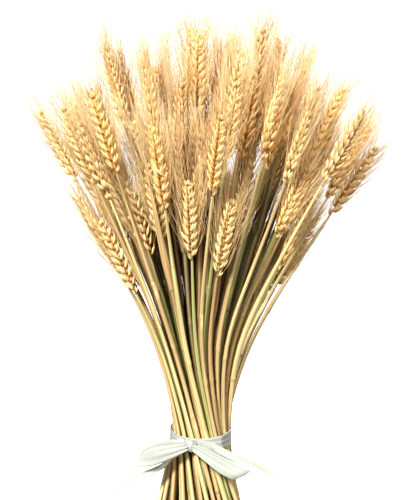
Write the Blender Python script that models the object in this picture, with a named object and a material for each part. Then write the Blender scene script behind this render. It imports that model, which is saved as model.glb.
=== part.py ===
"""A hand-tied bunch of ripe bearded wheat, held by one satin ribbon and standing on its cut straw ends.

The stalks are laid in a spiral, so that every straw leans the same way round where the ribbon grips them,
spreads below the ribbon into a standing foot and fans out above it into a crown of ears.
Each node is a pair of neighbouring stalks, pressed together where the ribbon grips them.
Metres, +Z up. The bunch is laid out round the middle of the ribbon, with its front towards -Y,
and moved at the end so that the middle of its box is over the origin.
"""

import cmath
import math
import random

import bmesh
import bpy
import numpy as np
from mathutils import Matrix, Vector

# The bunch
STALKS = 90
TIE_HEIGHT = 0.113
WAIST = 0.0250  # from the middle to the outermost straw's centre line, at the ribbon
TWIST = 13.0  # how fast the spiral turns, in radians for each metre of rise near the ribbon
FAN = 22.0  # how fast the crown widens, in waist radii for each metre above FAN_FROM
FAN_FROM = 0.082
FAN_EASE = 0.045
FOOT = 6.5  # the same below the ribbon, for the standing foot
FOOT_EASE = 0.012
SEED = 230

# One straw
STRAW_RADIUS = 0.0022  # of the corners of its four-sided section
NECK_RADIUS = 0.0015  # just below the ear
NECK_LENGTH = 0.02  # the least, from the last level of the straw to the ear
STRAW_SPACE = 0.0025  # half the room that a straw keeps to the next
STRAW_RISES = (-TIE_HEIGHT, -0.020, 0.020, 0.064, 0.118, 0.185)
PRESSED = 0.0037  # between the centre lines of two straws pressed together by the ribbon
PRESSED_REACH = 0.028
NEARLY_PRESSED = 0.0045  # the same up to twice as far from the ribbon

# The least and greatest length of straw from the ribbon to the ear, of the inner and of the outer straws
INNER_LENGTHS = (0.215, 0.292)
OUTER_LENGTHS = (0.112, 0.264)
INNER_SEAT = 0.40  # as shares of the waist
OUTER_SEAT = 0.85
RISE_STEP = 0.002

# One ear
EAR_LENGTH = 0.078
EAR_HALF_WIDTH = 0.0076
EAR_HALF_DEPTH = 0.0048
EAR_SPACE = 0.0086  # half the room that a leaning ear keeps to its neighbours
EAR_MARGINS = (0.006, 0.010)  # how far below and above the ear it keeps that room
SPIKELETS = 8
NOTCH = 0.52  # how far out the ear reaches between two spikelets, as a share of the spikelet
TOOTH_RISE = 1.5  # how steeply a spikelet points up, in pitches for its whole reach

# Its beard
AWNS = 5
AWN_RADIUS = 0.00055
AWN_LENGTH = 0.050
AWN_SPREAD = (math.radians(5), math.radians(17))
AWN_LENGTHS = (0.86, 1.08)  # as shares of AWN_LENGTH
AWN_FIRST = 0.19  # where the lowest and the highest start, as shares of the ear
AWN_LAST = 0.75
AWN_TURN = 1.3  # radians, at most, from the plane of the spikelets
AWN_TRIES = 24
BEARD_SEED = 9
AWN_STEP = 0.010  # between the levels at which its clearance is tested
AWN_ROOT = 0.0014  # from the ear's middle line to a root, well inside the ear
AWN_SPACE = 0.0017  # from its middle line to any other stalk

# The ribbon: a band round the waist, and a bow of two loops and two tails on a knot in front
RIBBON_THICKNESS = 0.001
BAND_WIDTH = 0.0135
BAND_GATHERED = 0.0100  # its width at the knot
BAND_DROP = 0.0060  # how much lower than at its sides it lies in front
BAND_SIDES = 24
BAND_CLEAR = 0.0004  # from the outermost straw's corner
KNOT = Vector((-0.009, -0.0315, 0.1065))
KNOT_SIZE = Vector((0.0125, 0.0072, 0.0115))

# The bow, station by station out from the knot and back: the ribbon's middle from the knot, then the way across it
# from its lower to its upper edge, both in millimetres
LEFT_LOOP = (
    ((-2, 1.5, 0.5), (0, 0, 8)),
    ((-14, 2.5, -2), (1, 0, 13)),
    ((-29, 1.5, -6.5), (3, 0, 17.5)),
    ((-42, -0.5, -10.5), (7, 0, 15)),
    ((-46, -3.5, -12.5), (8, 0, 12)),
    ((-41, -7, -12), (6, 0, 15)),
    ((-29, -8.5, -9), (2, 0, 17)),
    ((-14, -6.5, -4.5), (-1, 0, 12)),
    ((-2, -4, -0.8), (0, 0, 7)),
)
RIGHT_LOOP = (
    ((2, 1.5, 0.3), (0, 0, 7)),
    ((12, 1.5, -4), (2, 0, 10)),
    ((24, 1, -12), (4, 0, 12.5)),
    ((38, 0, -20), (9, 0, 11)),
    ((49, -3, -24), (12, 0, 7)),
    ((42, -6.5, -23), (9, 0, 10)),
    ((28, -7, -16), (4, 0, 12.5)),
    ((13, -5.5, -7), (2, 0, 9)),
    ((2, -3.5, -1), (0, 0, 6)),
)
LEFT_TAIL = (
    ((-2, 2.5, -1), (0, 0, 6)),
    ((-12, 3.5, -9), (1, 2, 5)),
    ((-24, 2, -19.5), (1.5, 4, 4)),
    ((-42, 0, -28), (2, 6, 4)),
    ((-56, -2, -34), (2, 7, 4)),
    ((-66.5, -3, -39), (2, 7.5, 4)),
)
RIGHT_TAIL = (
    ((2, 2.5, 2), (0, 0, 7)),
    ((18, 2, -1), (1, 0, 8)),
    ((36, 1, -8.5), (1.5, 0, 6.5)),
    ((54, 0, -15), (2, 0, 6)),
    ((69, -1, -20), (3, 0, 8)),
    ((78.5, -2, -23.3), (7, 0, 6.2)),
)

# How each stalk strays from the spiral: a steady wander and a slow bow, both for each waist radius of spread
WANDER = 0.0017
BOW = 0.0010
BOW_WAVES = (8, 16)  # radians for each metre of rise

# Settling of the stalks against each other
STEP = 0.013
TOP = 0.390
ROUNDS = 260
LAST_ROUNDS = 25  # without smoothing
PUSH = 0.3
SMOOTHING = 0.35
GRIPPED_TO = 0.03  # the rise up to which no straw leaves the bundle's round outline
GOLDEN_ANGLE = math.pi * (3 - math.sqrt(5))

MIDDLE = Vector((0.0003, -0.0172, 0))  # of the whole bunch's box, from the middle of the ribbon

STRAW_COLOUR = (0.66, 0.50, 0.26, 1)
RIBBON_COLOUR = (0.93, 0.93, 0.88, 1)


def ramp(distance, ease):
    """Nearly 0 below 0, nearly distance above it, and smooth between."""
    return (distance + math.sqrt(distance * distance + ease * ease)) / 2


def spread(rise):
    """How far a straw is moved and turned from its seat in the ribbon, as a complex factor."""
    crown = FAN * (ramp(rise - FAN_FROM, FAN_EASE) - ramp(-FAN_FROM, FAN_EASE))
    foot = FOOT * (ramp(-rise, FOOT_EASE) - ramp(0, FOOT_EASE))
    return complex(1 + max(crown, 0) + max(foot, 0), -TWIST * rise)


def seats():
    """Where the straws pass through the ribbon: evenly over the waist, in a sunflower's order from the middle out."""
    return np.array(
        [
            WAIST * math.sqrt((i + 0.5) / STALKS) * cmath.exp(1j * i * GOLDEN_ANGLE)
            for i in range(STALKS)
        ]
    )


def pair_up(points):
    """Each straw and the nearest straw not yet taken, from the outside in."""
    free = sorted(range(len(points)), key=lambda i: -abs(points[i]))
    pairs = []
    while free:
        first = free.pop(0)
        second = min(free, key=lambda i: abs(points[i] - points[first]))
        free.remove(second)
        pairs.append((first, second))
    return pairs


def ear_spans(points, rng):
    """The rise of each ear's base and tip. Outer straws may be short, so that their ears hang low round the crown."""
    spans = []
    for seat in points:
        outer = min(1.0, max(0.0, (abs(seat) / WAIST - INNER_SEAT) / (OUTER_SEAT - INNER_SEAT)))
        shortest, longest = (a + (b - a) * outer for a, b in zip(INNER_LENGTHS, OUTER_LENGTHS))
        straw = shortest + (longest - shortest) * rng.random()
        length, rise, base = 0.0, 0.0, None
        while length < straw + EAR_LENGTH:
            moved = abs(seat * (spread(rise + RISE_STEP) - spread(rise)))
            length += math.hypot(moved, RISE_STEP)
            rise += RISE_STEP
            if base is None and length >= straw:
                base = rise
        spans.append((base, rise))
    return np.array(spans)


def settle(points, spans, pairs, rng):
    """The stalks' places at each level, as complex numbers: the spiral with a wander of each stalk's own,
    pushed apart where two would cross and drawn together where the ribbon presses a pair."""
    rises = np.arange(-TIE_HEIGHT, TOP, STEP)
    factors = np.array([spread(rise) for rise in rises])
    room = np.abs(factors) - 1
    places = points[:, None] * factors[None, :]
    for i in range(len(points)):
        wander = cmath.rect(WANDER * rng.random() ** 0.5, rng.uniform(0, 2 * math.pi))
        bow = cmath.rect(BOW, rng.uniform(0, 2 * math.pi))
        places[i] += wander * room + bow * room * np.sin(rises * rng.uniform(*BOW_WAVES))

    in_ear = (rises > spans[:, :1] - EAR_MARGINS[0]) & (rises < spans[:, 1:] + EAR_MARGINS[1])
    radius = np.where(in_ear, EAR_SPACE, STRAW_SPACE)
    need = radius[:, None, :] + radius[None, :, :]
    pressed = np.abs(rises) < PRESSED_REACH
    near = np.abs(rises) < 2 * PRESSED_REACH
    for a, b in pairs:
        need[a, b, near] = need[b, a, near] = NEARLY_PRESSED
        need[a, b, pressed] = need[b, a, pressed] = PRESSED
    itself = np.eye(len(points), dtype=bool)[:, :, None]
    free = places
    waist = (WAIST * np.abs(factors))[None, :]
    gripped = (rises < GRIPPED_TO)[None, :]
    for turn in range(ROUNDS):
        apart = places[:, None, :] - places[None, :, :]
        gap = np.abs(apart) + itself
        push = np.where(itself, 0, np.maximum(need - gap, 0)) * PUSH
        places = places + (push * apart / gap).sum(axis=1)
        for a, b in pairs:
            off = places[a, pressed] - places[b, pressed]
            pull = (1 - PRESSED / np.abs(off)) * off / 2
            places[a, pressed] -= pull
            places[b, pressed] += pull
        outside = np.maximum(np.abs(places) / waist, 1)
        places = np.where(gripped, places / outside, places)
        if turn < ROUNDS - LAST_ROUNDS:
            moved = places - free
            ends = (moved[:, :-2] + moved[:, 2:]) / 2
            moved[:, 1:-1] += (ends - moved[:, 1:-1]) * SMOOTHING
            places = free + moved
    return rises, places


class Stalk:
    """A settled stalk's centre line, read by its rise above the ribbon."""

    def __init__(self, rises, places, span):
        self.rises, self.places = rises, places
        self.base, self.tip = span

    def at(self, rise):
        place = complex(
            np.interp(rise, self.rises, self.places.real),
            np.interp(rise, self.rises, self.places.imag),
        )
        return Vector((place.real, place.imag, TIE_HEIGHT + rise))

    def along(self, rise, reach=0.01):
        return (self.at(rise + reach) - self.at(rise - reach)).normalized()


def across(direction, towards):
    """The unit vector square to direction that points most nearly towards."""
    return (towards - direction * towards.dot(direction)).normalized()


def ear_envelope(share):
    """The ear's width at a share of its length, as a share of its widest."""
    return (0.66 + 0.34 * min(1, share / 0.22)) * (1 - 0.50 * share**3)


def ring(centre, direction, side, reaches, raises):
    """Four points round the centre: out along side, along the second side, and opposite those."""
    second = direction.cross(side)
    ways = (side, second, -side, -second)
    return [
        centre + way * reach + direction * raised
        for way, reach, raised in zip(ways, reaches, raises)
    ]


def stalk_rings(stalk, towards, spin):
    """The rings of one stalk from its cut end to the top of its ear, and the turned sides of the ear's middle line."""
    rings = []
    side = towards
    stem_rises = [rise for rise in STRAW_RISES if rise < stalk.base - NECK_LENGTH]
    for rise in stem_rises:
        direction = Vector((0, 0, 1)) if rise == STRAW_RISES[0] else stalk.along(rise)
        side = across(direction, side)
        rings.append(ring(stalk.at(rise), direction, side, [STRAW_RADIUS] * 4, [0] * 4))
    direction = stalk.along(stalk.base)
    side = across(direction, side)
    quarter = round(spin / (math.pi / 2))
    turned = Matrix.Rotation(spin - quarter * math.pi / 2, 3, direction) @ side
    rings.append(ring(stalk.at(stalk.base), direction, turned, [NECK_RADIUS] * 4, [0] * 4))
    pitch = (stalk.tip - stalk.base) / SPIKELETS
    for k in range(SPIKELETS):
        share = (k + 0.5) / SPIKELETS
        rise = stalk.base + share * (stalk.tip - stalk.base)
        direction = stalk.along(rise)
        turned = across(direction, turned)
        size = ear_envelope(share)
        left, right = (1, NOTCH) if k % 2 == 0 else (NOTCH, 1)
        width, depth = EAR_HALF_WIDTH * size, EAR_HALF_DEPTH * size
        reaches = [left * width, depth, right * width, depth]
        middle = (1 + NOTCH) / 2
        lifts = [left - middle, 0, right - middle, 0]
        raises = [lift * TOOTH_RISE * pitch / direction.z for lift in lifts]
        if quarter % 2:
            reaches = reaches[-1:] + reaches[:-1]
            raises = raises[-1:] + raises[:-1]
        rings.append(ring(stalk.at(rise), direction, turned, reaches, raises))
    wide = turned if quarter % 2 == 0 else stalk.along(stalk.tip).cross(turned)
    return rings, wide


def new_object(name, bm, home):
    mesh = bpy.data.meshes.new(name)
    bmesh.ops.recalc_face_normals(bm, faces=bm.faces)
    bm.to_mesh(mesh)
    bm.free()
    made = bpy.data.objects.new(name, mesh)
    home.objects.link(made)
    return made


def lofted(name, rings, home, tip=None):
    """A closed solid through rings of unlike sections, ending at a point where a tip is given."""
    bm = bmesh.new()
    loops = [[bm.verts.new(point) for point in points] for points in rings]
    count = len(rings[0])
    for low, high in zip(loops[:-1], loops[1:]):
        for i in range(count):
            j = (i + 1) % count
            bm.faces.new((low[i], low[j], high[j], high[i]))
    bm.faces.new(loops[0][::-1])
    if tip is None:
        bm.faces.new(loops[-1])
    else:
        end = bm.verts.new(tip)
        for i in range(count):
            bm.faces.new((loops[-1][i], loops[-1][(i + 1) % count], end))
    return new_object(name, bm, home)


def awn(root, direction, length, home):
    """One bristle of the beard: a three-sided needle."""
    bm = bmesh.new()
    stand = Matrix.Translation(root + direction * length / 2) @ direction.to_track_quat("Z", "Y").to_matrix().to_4x4()
    bmesh.ops.create_cone(
        bm, cap_ends=True, segments=3, radius1=AWN_RADIUS, radius2=0, depth=length, matrix=stand
    )
    return new_object("Awn", bm, home)


def distance(a, b, c, d):
    """The least distance between the straight pieces ab and cd (arrays of c and d)."""
    u, v, w = b - a, d - c, a - c
    uu, uv, vv = u @ u, v @ u, (v * v).sum(-1)
    uw, vw = w @ u, (v * w).sum(-1)
    det = np.maximum(uu * vv - uv * uv, 1e-18)
    s = np.clip((uv * vw - vv * uw) / det, 0, 1)
    t = np.clip((uv * s + vw) / vv, 0, 1)
    s = np.clip((uv * t - uw) / uu, 0, 1)
    return np.linalg.norm(w + s[..., None] * u - t[..., None] * v, axis=-1)


class Neighbours:
    """All that an awn has to keep clear of: straight pieces with a radius, each owned by one stalk."""

    def __init__(self, stalks):
        starts, ends, radii, owners = [], [], [], []
        for i, stalk in enumerate(stalks):
            levels = np.arange(-TIE_HEIGHT, stalk.tip + AWN_STEP, AWN_STEP)
            for low, high in zip(levels[:-1], levels[1:]):
                starts.append(stalk.at(low))
                ends.append(stalk.at(high))
                radii.append(EAR_HALF_WIDTH if high > stalk.base - EAR_MARGINS[0] else STRAW_RADIUS)
                owners.append(i)
        self.starts, self.ends = np.array(starts), np.array(ends)
        self.radii, self.owners = np.array(radii), np.array(owners)

    def clear(self, root, tip, owner):
        gaps = distance(np.array(root), np.array(tip), self.starts, self.ends) - self.radii
        return bool((gaps[self.owners != owner] > AWN_SPACE).all())

    def add(self, root, tip, owner):
        self.starts = np.vstack([self.starts, root])
        self.ends = np.vstack([self.ends, tip])
        self.radii = np.append(self.radii, AWN_RADIUS)
        self.owners = np.append(self.owners, owner)


def beard(stalk, wide, owner, neighbours, rng):
    """The awns of one ear, as (root, direction, length): alternately left and right from low to high,
    each turned until it is clear of every other stalk."""
    found = []
    for k in range(AWNS):
        share = AWN_FIRST + (AWN_LAST - AWN_FIRST) * k / (AWNS - 1)
        rise = stalk.base + share * (stalk.tip - stalk.base)
        axis = stalk.along(rise)
        out = across(axis, wide) * (1 if k % 2 else -1)
        for attempt in range(AWN_TRIES):
            turn = Matrix.Rotation(rng.uniform(-AWN_TURN, AWN_TURN), 3, axis)
            lean = rng.uniform(*AWN_SPREAD)
            way = turn @ out
            direction = (axis * math.cos(lean) + way * math.sin(lean)).normalized()
            root = stalk.at(rise) + way * AWN_ROOT
            length = AWN_LENGTH * rng.uniform(*AWN_LENGTHS)
            tip = root + direction * length
            if neighbours.clear(root, tip, owner):
                found.append((root, direction, length))
                break
    for root, direction, length in found:
        neighbours.add(root, root + direction * length, owner)
    return found


def material(name, colour, roughness):
    made = bpy.data.materials.new(name)
    made.use_nodes = True
    shader = made.node_tree.nodes["Principled BSDF"]
    shader.inputs["Base Color"].default_value = colour
    shader.inputs["Roughness"].default_value = roughness
    return made


def collection(name, hidden=False):
    made = bpy.data.collections.new(name)
    bpy.context.scene.collection.children.link(made)
    made.hide_render = hidden
    return made


def joined(base, others, name, finish, home):
    """base and everything in the collection others as one solid under that name, moved to its place in the frame."""
    union = base.modifiers.new("Join", "BOOLEAN")
    union.operation = "UNION"
    union.operand_type = "COLLECTION"
    union.collection = others
    union.solver = "MANIFOLD"
    bpy.context.view_layer.update()
    graph = bpy.context.evaluated_depsgraph_get()
    mesh = bpy.data.meshes.new_from_object(base.evaluated_get(graph))
    mesh.name = name
    mesh.transform(Matrix.Translation(-MIDDLE))
    mesh.materials.clear()
    mesh.materials.append(finish)
    made = bpy.data.objects.new(name, mesh)
    home.objects.link(made)
    for used in [base, *others.objects]:
        bpy.data.objects.remove(used)
    return made


def hug(rise):
    """The radius at which the ribbon clears the straws, which run straight from level to level."""
    radii = [WAIST * abs(spread(level)) for level in STRAW_RISES]
    return (np.interp(rise, STRAW_RISES, radii) + STRAW_RADIUS + BAND_CLEAR) / math.cos(math.pi / BAND_SIDES)


def over_straws(point):
    """The point, moved straight out where it would lie in the straws."""
    radius = math.hypot(point.x, point.y)
    outside = max(1, (hug(point.z - TIE_HEIGHT) + BAND_CLEAR) / radius)
    return Vector((point.x * outside, point.y * outside, point.z))


def band(home):
    """The ribbon round the waist: a closed ring of upright sections that hug the leaning straws."""
    bm = bmesh.new()
    sections = []
    to_knot = math.atan2(KNOT.y, KNOT.x)
    for i in range(BAND_SIDES):
        angle = to_knot + 2 * math.pi * i / BAND_SIDES
        near = (1 + math.cos(angle - to_knot)) / 2
        half = (BAND_WIDTH + (BAND_GATHERED - BAND_WIDTH) * near**4) / 2
        middle = BAND_DROP * math.sin(angle)
        out = Vector((math.cos(angle), math.sin(angle), 0))
        corners = []
        for rise, skin in (
            (middle + half, 0),
            (middle + half, RIBBON_THICKNESS),
            (middle - half, RIBBON_THICKNESS),
            (middle - half, 0),
        ):
            corners.append(bm.verts.new(out * (hug(rise) + skin) + Vector((0, 0, TIE_HEIGHT + rise))))
        sections.append(corners)
    for now, after in zip(sections, sections[1:] + sections[:1]):
        for i in range(4):
            j = (i + 1) % 4
            bm.faces.new((now[i], now[j], after[j], after[i]))
    return new_object("Band", bm, home)


def strip(name, stations, home):
    """A loop or tail of the bow through its stations."""
    middles = [KNOT + Vector(middle) / 1000 for middle, width in stations]
    halves = [Vector(width) / 2000 for middle, width in stations]
    rows = []
    for i, (middle, half) in enumerate(zip(middles, halves)):
        before, after = middles[max(i - 1, 0)], middles[min(i + 1, len(middles) - 1)]
        face = (after - before).cross(half).normalized() * (RIBBON_THICKNESS / 2)
        inner = [over_straws(middle + half - face), over_straws(middle - half - face)]
        rows.append([inner[0] + face * 2, inner[1] + face * 2, inner[1], inner[0]])
    return lofted(name, rows, home)


def ribbon(finish, home, shop):
    """The satin ribbon: one strip in life, so one solid here."""
    pieces = bpy.data.collections.new("Bow")
    shop.children.link(pieces)
    strip("Left_loop", LEFT_LOOP, pieces)
    strip("Right_loop", RIGHT_LOOP, pieces)
    strip("Left_tail", LEFT_TAIL, pieces)
    strip("Right_tail", RIGHT_TAIL, pieces)
    bm = bmesh.new()
    stand = Matrix.Translation(KNOT) @ Matrix.Diagonal((*KNOT_SIZE, 1))
    bmesh.ops.create_uvsphere(bm, u_segments=8, v_segments=6, radius=0.5, matrix=stand)
    for vert in bm.verts:
        vert.co = over_straws(vert.co)
    new_object("Knot", bm, pieces)
    return joined(band(shop), pieces, "satin_ribbon", finish, home)


def main():
    for old in list(bpy.data.objects):
        bpy.data.objects.remove(old)
    home = collection("Wheat_bunch")
    shop = collection("Repeats", hidden=True)
    straw = material("Ripe_straw", STRAW_COLOUR, 0.6)

    rng = random.Random(SEED)
    points = seats()
    pairs = pair_up(points)
    spans = ear_spans(points, rng)
    rises, places = settle(points, spans, pairs, rng)
    stalks = [Stalk(rises, places[i], spans[i]) for i in range(STALKS)]
    spins = [rng.uniform(0, 2 * math.pi) for stalk in stalks]
    rng = random.Random(BEARD_SEED)
    neighbours = Neighbours(stalks)
    for number, (a, b) in enumerate(pairs, start=1):
        repeats = bpy.data.collections.new("Pair")
        shop.children.link(repeats)
        solids = []
        for one, other in ((a, b), (b, a)):
            towards = stalks[other].at(0) - stalks[one].at(0)
            rings, wide = stalk_rings(stalks[one], towards, spins[one])
            tip = stalks[one].at(stalks[one].tip)
            solids.append(lofted("Stalk", rings, repeats, tip))
            for root, direction, length in beard(stalks[one], wide, one, neighbours, rng):
                awn(root, direction, length, repeats)
        repeats.objects.unlink(solids[0])
        shop.objects.link(solids[0])
        joined(solids[0], repeats, f"wheat_stalks_{number:02d}", straw, home)
    ribbon(material("White_satin", RIBBON_COLOUR, 0.35), home, shop)


main()
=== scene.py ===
"""The looks of a hand-tied bunch of ripe bearded wheat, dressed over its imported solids.

Each stalk is laid out again by the rule that the solids follow, so that every finer stalk grows where the
plain one stands: round straw with its joints and leaf sheaths, an ear of spikelets, and a beard of awns.
Metres, +Z up, the front towards -Y. The bunch is laid out round the middle of the ribbon, and each finished
piece is moved so that the middle of the bunch's box is over the origin.
"""

import cmath
import math
import random

import bpy
import numpy as np
from mathutils import Matrix, Vector


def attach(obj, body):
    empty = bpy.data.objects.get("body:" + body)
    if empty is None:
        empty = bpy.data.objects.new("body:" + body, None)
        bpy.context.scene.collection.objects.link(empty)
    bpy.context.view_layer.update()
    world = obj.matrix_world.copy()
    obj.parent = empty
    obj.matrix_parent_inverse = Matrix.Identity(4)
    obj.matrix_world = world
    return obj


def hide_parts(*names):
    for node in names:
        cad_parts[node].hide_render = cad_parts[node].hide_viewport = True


# The bunch's layout, the same as the solids'
STALKS = 90
TIE_HEIGHT = 0.113
WAIST = 0.0250  # from the middle to the outermost straw's centre line, at the ribbon
TWIST = 13.0  # how fast the spiral turns, in radians for each metre of rise near the ribbon
FAN = 22.0  # how fast the crown widens, in waist radii for each metre above FAN_FROM
FAN_FROM = 0.082
FAN_EASE = 0.045
FOOT = 6.5  # the same below the ribbon, for the standing foot
FOOT_EASE = 0.012
SEED = 230
STRAW_SPACE = 0.0025  # half the room that a straw keeps to the next
PRESSED = 0.0037  # between the centre lines of two straws pressed together by the ribbon
PRESSED_REACH = 0.028
NEARLY_PRESSED = 0.0045  # the same up to twice as far from the ribbon
INNER_LENGTHS = (0.215, 0.292)
OUTER_LENGTHS = (0.112, 0.264)
INNER_SEAT = 0.40  # as shares of the waist
OUTER_SEAT = 0.85
RISE_STEP = 0.002
EAR_LENGTH = 0.078
EAR_SPACE = 0.0086  # half the room that a leaning ear keeps to its neighbours
EAR_MARGINS = (0.006, 0.010)  # how far below and above the ear it keeps that room
WANDER = 0.0017
BOW = 0.0010
BOW_WAVES = (8, 16)  # radians for each metre of rise
STEP = 0.013
TOP = 0.390
ROUNDS = 260
LAST_ROUNDS = 25  # without smoothing
PUSH = 0.3
SMOOTHING = 0.35
GRIPPED_TO = 0.03  # the rise up to which no straw leaves the bundle's round outline
# How deep in the bunch a stalk stands, which paints its straw and leaves darker as shade
SKIN = 0.86  # shares of the bundle's radius: a stalk further out than this is at the bunch's skin,
SKIN_DEPTH = 0.5  # and one that lies this much further in is wholly inside
GOLDEN_ANGLE = math.pi * (3 - math.sqrt(5))
MIDDLE = Vector((0.0003, -0.0172, 0))  # of the whole bunch's box, from the middle of the ribbon

# The solids' straws have rings at these rises, by which an ear's facing is carried up the stalk
STRAW_RISES = (-TIE_HEIGHT, -0.020, 0.020, 0.064, 0.118, 0.185)
SOLID_NECK = 0.020

# One straw
STRAW_SIDES = 9
STRAW_RADIUS = 0.00202
STRAW_THICKNESS = (0.76, 1.07)  # each straw's own share of that radius
NECK_RADIUS = 0.00120
NECK_REACH = 0.090  # how far below the ear the straw starts to thin
SHEATH_ROOM = 0.00020  # how much thicker the straw is inside its leaf sheath
JOINT_SWELL = 0.00025
JOINT_REACH = 0.0030
JOINT_RISES = ((-0.085, -0.030), (0.035, 0.120))  # where each straw's lower and upper joint may be
JOINT_TO_EAR = 0.05  # the least length of straw from a joint to the ear
EAR_OVERLAP = 0.001  # how far the straw runs up into the ear, and the ear's stem down into the straw
SHEATH_LENGTH = (0.045, 0.085)
SHEATH_FRAY = 0.0030
SHEATH_LIP = 0.0045
SHEATH_EDGE_MARK = 0.5  # how brown the frayed edge is
STRAW_WALL = 0.62  # the hollow's radius as a share of the straw's
HOLLOW_DEPTH = 0.006

# The dried leaf, torn to strips that run up beside the straw
LEAFY_FROM = 0.05  # how deep in the bunch a stalk has to be to have kept its leaf
LEAVES = 3
LEAF_LENGTH = (0.080, 0.190)
LEAF_WIDTH = (0.0030, 0.0072)
LEAF_LEAN = (0.0005, 0.0090)
LEAF_TWIST = (-2.5, 2.5)
LEAF_FOOT = 0.004  # how far below the sheath's lip it starts
LEAF_FOLD = 0.25  # how far its edges stand out, as a share of half its width
LEAF_BROWNING = 0.25  # how brown its tip is
LEAF_GRAIN = 0.003  # its place across the straw's fibres
LEAF_TONE = 0.5  # as a share of the straw's, so that no leaf is green

# A scrap of leaf caught in an ear
SCRAPS = 0.12  # each ear's chance of one
SCRAP_LENGTH = (0.014, 0.024)
SCRAP_WIDTH = (0.0018, 0.0030)
SCRAP_SLANT = (math.radians(20), math.radians(55))
SCRAP_PLACE = (0.45, 0.85)  # as a share of the ear's length
SCRAP_TURN = 0.4  # how far round from the ear's front it may lie
SCRAP_CURL = (1.0, 2.4)
SCRAP_STAND = 0.0052  # from the ear's centre line
SCRAP_ARCH = 0.0030
SCRAP_TONE = 0.6

# One ear
SPIKELETS = (17, 20)
SPIKELET_REACH = 0.93  # the share of the ear's length that has spikelets
SPIKELET_ROOT = 0.0006
LOWEST_SPIKELET = 0.72  # its size as a share of the next one's
RACHIS_RADIUS = 0.0009
RACHIS_END = 0.006  # below the ear's tip
RACHIS_TINT = (0.2, 0.22)  # its mark, and its share on the husks' scale, which gives it part of their brown foot: partly its own colour, partly painted shade
LOW_TIP = 0.17  # the rise of the lowest and of the highest tip, between which the ears get redder
HIGH_TIP = 0.365
TIP_REDDENS = 0.55  # how much of an ear's tone comes from its tip's rise, and the rest is its own

# A spikelet's five husks: two glumes, two florets and the last floret in the middle. Each has its side, its
# foot's places up the ear and beside the middle, its lean and splay in degrees, its width, depth and length
HUSKS = (
    (-1, 0.0000, 0.0015, 26, 46, 0.0043, 0.0033, 0.0104),
    (1, 0.0000, 0.0015, 26, 46, 0.0043, 0.0033, 0.0104),
    (-1, 0.0009, 0.0010, 34, 22, 0.0051, 0.0043, 0.0126),
    (1, 0.0016, 0.0010, 30, 22, 0.0051, 0.0043, 0.0124),
    (0, 0.0030, 0.0000, 18, 0, 0.0043, 0.0037, 0.0108),
)
GLUMES = 2
AWNED_HUSKS = (0, 1, 2, 2, 3, 3, 4, 4)  # which of them each awn grows on
HUSK_SIZES = (0.93, 1.06)
HUSK_LEAN = 4  # how far a husk's lean and its splay vary, in degrees
HUSK_SPLAY = 5
HUSK_SIDES = 6
HUSK_LEVELS = 5
HUSK_ARCH = 0.05  # how far a husk bows outwards, as a share of its length
HUSK_KEEL = 0.16  # how far the ridge down its back stands out
HUSK_INNER = 0.6  # its inner side's depth as a share of its outer side's
HUSK_INNER_SHADE = 0.30  # how much lower its share is on its inner side: painted shade in the creases between husks

# Its beard
AWN_SIDES = 3
AWN_RINGS = 4
AWN_RADIUS = 0.00025
AWN_TAPER = 0.8  # how much thinner it is by its tip
AWN_ROOT = 0.93  # as a share of its husk's length
AWN_LEAVING = 0.22  # the curve's first arm, straight on from the husk, as a share of the awn's length
AWN_BENT = 0.16  # how far the tip is carried that way, likewise
AWN_SPREAD = (0.75, 1.12)  # each awn's own share of the length
GLUME_AWN = 0.55  # the glumes' awns as a share of the florets'
AWN_LENGTHS = (0.063, 0.033)  # on the lowest and on the highest spikelet
UPRIGHT_GAIN = 0.20  # how much longer the beard of an upright ear is, as a share
UPRIGHT_FROM = 0.85  # the cosine of the lean at which that gain starts
AWN_LEAN = (math.radians(2), math.radians(14))
STRAY_AWNS = 0.30  # how many of them stand out further
STRAY_LEAN = (math.radians(13), math.radians(26))
ACROSS_AWNS = (0.31, 0.95, 0.05)  # a direction that crosses the awns, by which their sides are set

# The ribbon
BAND_WIDTH = 0.0135
BAND_GATHERED = 0.0100
BAND_DROP = 0.0060
BAND_ROOM = 0.0003  # from the straws to the band
BOW_ROOM = 0.0013  # from the straws to the nearest part of the bow
GIRTH_RISES = np.arange(-0.055, 0.025, 0.005)  # where the bundle's girth is measured
GIRTH_SIDES = 120
RIM_POINTS = 10  # round each straw, between which the girth's line is drawn
BAND_ROWS = 180
BAND_COLUMNS = 17
BAND_FOLD = 0.00030
KNOT = Vector((-0.009, -0.0315, 0.1065))
KNOT_RADIUS = 0.0044
KNOT_LENGTH = 0.0132
KNOT_BULGE = 0.0035  # how far its ends lie behind its middle
KNOT_SETTING = 0.001  # how far its middle stands in front of KNOT
KNOT_TILT = math.radians(12)
KNOT_ROWS = 28
KNOT_COLUMNS = 15
BOW_ROWS = 6  # from each station of the bow to the next
BOW_COLUMNS = 13
PLEAT = 0.0013
ROLL = 0.0006
RIBBON_THICKNESS = 0.00035

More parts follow.
